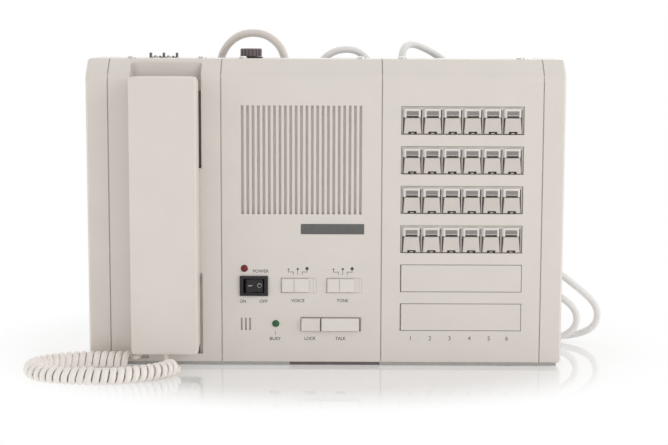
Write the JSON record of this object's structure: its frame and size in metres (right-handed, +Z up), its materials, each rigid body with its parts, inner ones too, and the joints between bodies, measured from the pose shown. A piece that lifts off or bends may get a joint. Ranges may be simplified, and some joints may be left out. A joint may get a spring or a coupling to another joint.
{
  "type": "desk intercom",
  "caption": "Desktop intercom in an upright slab casing with a clip-on handset, slotted speaker grille, small controls and rows of station keys.",
  "frame": {"origin": "under the middle of the object, on the plane of its feet", "axes": "+X to the right along the casing as the user faces it, +Y from the front panel to the rear, +Z up"},
  "size_m": [0.4444, 0.2693, 0.2531],
  "materials": {
    "casing_plastic": "moulded off-white plastic, slightly aged",
    "handset_plastic": "moulded off-white plastic, satin",
    "key_plastic": "moulded warm grey plastic",
    "frame_plastic": "moulded warm grey plastic",
    "lens_plastic": "ribbed smoky lens",
    "lock_plastic": "satin grey plastic",
    "black_plastic": "moulded black plastic",
    "red_lamp": "clear red epoxy",
    "green_lamp": "clear green epoxy",
    "zinc_steel": "zinc-plated sheet",
    "foot_rubber": "matt rubber",
    "cone_paper": "pressed paper",
    "board_laminate": "phenolic laminate",
    "mains_sheath": "grey-white vinyl",
    "white_sheath": "white vinyl",
    "curly_sheath": "off-white vinyl"
  },
  "bodies": {
    "casing": {"handset_cover": "casing_plastic", "speaker_cover": "casing_plastic", "selector_cover": "casing_plastic", "end_cap_left": "casing_plastic", "end_cap_right": "casing_plastic", "blank_plates": "casing_plastic", "key_frames": "frame_plastic", "lamp_lenses": "lens_plastic", "rocker_bezel": "black_plastic", "fuse_holder": "black_plastic", "slide_switches": "black_plastic", "cord_outlets": "black_plastic", "terminal_strip": "black_plastic", "station_plug": "black_plastic", "power_lamp": "red_lamp", "busy_lamp": "green_lamp", "rear_chassis": "zinc_steel", "speaker_frame": "zinc_steel", "feet": "foot_rubber", "speaker_cone": "cone_paper", "circuit_boards": "board_laminate", "mains_cord": "mains_sheath", "mains_coil": "mains_sheath", "mains_plug": "mains_sheath", "link_cable": "white_sheath", "station_cable": "white_sheath", "handset_cord": "curly_sheath"},
    "handset": {"handset_front_shell": "handset_plastic", "handset_back_shell": "handset_plastic"},
    "hook": {"hook_plunger": "black_plastic"},
    "rocker": {"power_rocker": "black_plastic"},
    "voice": {"voice_knob": "key_plastic"},
    "tone": {"tone_knob": "key_plastic"},
    "lock": {"lock_button": "lock_plastic"},
    "talk": {"talk_button": "key_plastic"},
    "fuse": {"fuse_cap": "black_plastic"},
    "body_key_r1_c1": {"key_r1_c1": "key_plastic"},
    "body_key_r1_c2": {"key_r1_c2": "key_plastic"},
    "body_key_r1_c3": {"key_r1_c3": "key_plastic"},
    "body_key_r1_c4": {"key_r1_c4": "key_plastic"},
    "body_key_r1_c5": {"key_r1_c5": "key_plastic"},
    "body_key_r1_c6": {"key_r1_c6": "key_plastic"},
    "body_key_r2_c1": {"key_r2_c1": "key_plastic"},
    "body_key_r2_c2": {"key_r2_c2": "key_plastic"},
    "body_key_r2_c3": {"key_r2_c3": "key_plastic"},
    "body_key_r2_c4": {"key_r2_c4": "key_plastic"},
    "body_key_r2_c5": {"key_r2_c5": "key_plastic"},
    "body_key_r2_c6": {"key_r2_c6": "key_plastic"},
    "body_key_r3_c1": {"key_r3_c1": "key_plastic"},
    "body_key_r3_c2": {"key_r3_c2": "key_plastic"},
    "body_key_r3_c3": {"key_r3_c3": "key_plastic"},
    "body_key_r3_c4": {"key_r3_c4": "key_plastic"},
    "body_key_r3_c5": {"key_r3_c5": "key_plastic"},
    "body_key_r3_c6": {"key_r3_c6": "key_plastic"},
    "body_key_r4_c1": {"key_r4_c1": "key_plastic"},
    "body_key_r4_c2": {"key_r4_c2": "key_plastic"},
    "body_key_r4_c3": {"key_r4_c3": "key_plastic"},
    "body_key_r4_c4": {"key_r4_c4": "key_plastic"},
    "body_key_r4_c5": {"key_r4_c5": "key_plastic"},
    "body_key_r4_c6": {"key_r4_c6": "key_plastic"}
  },
  "joints": [
    {"name": "handset_lift", "type": "slide", "parent": "casing", "child": "handset", "axis": [0, -1, 0], "range_m": [0, 0.08]},
    {"name": "hook_travel", "type": "slide", "parent": "casing", "child": "hook", "axis": [0, -1, 0], "range_m": [0, 0.003]},
    {"name": "rocker_tilt", "type": "hinge", "parent": "casing", "child": "rocker", "pos_m": [-0.0538, -0.023, 0.0612], "axis": [0, 0, -1], "range_deg": [0, 22]},
    {"name": "voice_slide", "type": "slide", "parent": "casing", "child": "voice", "axis": [1, 0, 0], "range_m": [0, 0.005]},
    {"name": "tone_slide", "type": "slide", "parent": "casing", "child": "tone", "axis": [1, 0, 0], "range_m": [0, 0.005]},
    {"name": "lock_press", "type": "slide", "parent": "casing", "child": "lock", "axis": [0, 1, 0], "range_m": [0, 0.0025]},
    {"name": "talk_press", "type": "slide", "parent": "casing", "child": "talk", "axis": [0, 1, 0], "range_m": [0, 0.0025], "stiffness_N_per_m": 500, "springref_m": -0.001},
    {"name": "fuse_turn", "type": "hinge", "parent": "casing", "child": "fuse", "pos_m": [-0.0578, 0.0205, 0.2323], "axis": [0, 0, 1], "range_deg": [0, 60]},
    {"name": "press_key_r1_c1", "type": "slide", "parent": "casing", "child": "body_key_r1_c1", "axis": [0, 1, 0], "range_m": [0, 0.0022], "stiffness_N_per_m": 400, "springref_m": -0.001},
    {"name": "press_key_r1_c2", "type": "slide", "parent": "casing", "child": "body_key_r1_c2", "axis": [0, 1, 0], "range_m": [0, 0.0022], "stiffness_N_per_m": 400, "springref_m": -0.001},
    {"name": "press_key_r1_c3", "type": "slide", "parent": "casing", "child": "body_key_r1_c3", "axis": [0, 1, 0], "range_m": [0, 0.0022], "stiffness_N_per_m": 400, "springref_m": -0.001},
    {"name": "press_key_r1_c4", "type": "slide", "parent": "casing", "child": "body_key_r1_c4", "axis": [0, 1, 0], "range_m": [0, 0.0022], "stiffness_N_per_m": 400, "springref_m": -0.001},
    {"name": "press_key_r1_c5", "type": "slide", "parent": "casing", "child": "body_key_r1_c5", "axis": [0, 1, 0], "range_m": [0, 0.0022], "stiffness_N_per_m": 400, "springref_m": -0.001},
    {"name": "press_key_r1_c6", "type": "slide", "parent": "casing", "child": "body_key_r1_c6", "axis": [0, 1, 0], "range_m": [0, 0.0022], "stiffness_N_per_m": 400, "springref_m": -0.001},
    {"name": "press_key_r2_c1", "type": "slide", "parent": "casing", "child": "body_key_r2_c1", "axis": [0, 1, 0], "range_m": [0, 0.0022], "stiffness_N_per_m": 400, "springref_m": -0.001},
    {"name": "press_key_r2_c2", "type": "slide", "parent": "casing", "child": "body_key_r2_c2", "axis": [0, 1, 0], "range_m": [0, 0.0022], "stiffness_N_per_m": 400, "springref_m": -0.001},
    {"name": "press_key_r2_c3", "type": "slide", "parent": "casing", "child": "body_key_r2_c3", "axis": [0, 1, 0], "range_m": [0, 0.0022], "stiffness_N_per_m": 400, "springref_m": -0.001},
    {"name": "press_key_r2_c4", "type": "slide", "parent": "casing", "child": "body_key_r2_c4", "axis": [0, 1, 0], "range_m": [0, 0.0022], "stiffness_N_per_m": 400, "springref_m": -0.001},
    {"name": "press_key_r2_c5", "type": "slide", "parent": "casing", "child": "body_key_r2_c5", "axis": [0, 1, 0], "range_m": [0, 0.0022], "stiffness_N_per_m": 400, "springref_m": -0.001},
    {"name": "press_key_r2_c6", "type": "slide", "parent": "casing", "child": "body_key_r2_c6", "axis": [0, 1, 0], "range_m": [0, 0.0022], "stiffness_N_per_m": 400, "springref_m": -0.001},
    {"name": "press_key_r3_c1", "type": "slide", "parent": "casing", "child": "body_key_r3_c1", "axis": [0, 1, 0], "range_m": [0, 0.0022], "stiffness_N_per_m": 400, "springref_m": -0.001},
    {"name": "press_key_r3_c2", "type": "slide", "parent": "casing", "child": "body_key_r3_c2", "axis": [0, 1, 0], "range_m": [0, 0.0022], "stiffness_N_per_m": 400, "springref_m": -0.001},
    {"name": "press_key_r3_c3", "type": "slide", "parent": "casing", "child": "body_key_r3_c3", "axis": [0, 1, 0], "range_m": [0, 0.0022], "stiffness_N_per_m": 400, "springref_m": -0.001},
    {"name": "press_key_r3_c4", "type": "slide", "parent": "casing", "child": "body_key_r3_c4", "axis": [0, 1, 0], "range_m": [0, 0.0022], "stiffness_N_per_m": 400, "springref_m": -0.001},
    {"name": "press_key_r3_c5", "type": "slide", "parent": "casing", "child": "body_key_r3_c5", "axis": [0, 1, 0], "range_m": [0, 0.0022], "stiffness_N_per_m": 400, "springref_m": -0.001},
    {"name": "press_key_r3_c6", "type": "slide", "parent": "casing", "child": "body_key_r3_c6", "axis": [0, 1, 0], "range_m": [0, 0.0022], "stiffness_N_per_m": 400, "springref_m": -0.001},
    {"name": "press_key_r4_c1", "type": "slide", "parent": "casing", "child": "body_key_r4_c1", "axis": [0, 1, 0], "range_m": [0, 0.0022], "stiffness_N_per_m": 400, "springref_m": -0.001},
    {"name": "press_key_r4_c2", "type": "slide", "parent": "casing", "child": "body_key_r4_c2", "axis": [0, 1, 0], "range_m": [0, 0.0022], "stiffness_N_per_m": 400, "springref_m": -0.001},
    {"name": "press_key_r4_c3", "type": "slide", "parent": "casing", "child": "body_key_r4_c3", "axis": [0, 1, 0], "range_m": [0, 0.0022], "stiffness_N_per_m": 400, "springref_m": -0.001},
    {"name": "press_key_r4_c4", "type": "slide", "parent": "casing", "child": "body_key_r4_c4", "axis": [0, 1, 0], "range_m": [0, 0.0022], "stiffness_N_per_m": 400, "springref_m": -0.001},
    {"name": "press_key_r4_c5", "type": "slide", "parent": "casing", "child": "body_key_r4_c5", "axis": [0, 1, 0], "range_m": [0, 0.0022], "stiffness_N_per_m": 400, "springref_m": -0.001},
    {"name": "press_key_r4_c6", "type": "slide", "parent": "casing", "child": "body_key_r4_c6", "axis": [0, 1, 0], "range_m": [0, 0.0022], "stiffness_N_per_m": 400, "springref_m": -0.001}
  ],
  "couplings": [
    {"joint": "hook_travel", "follows": "handset_lift", "ratio": 0.0375}
  ]
}
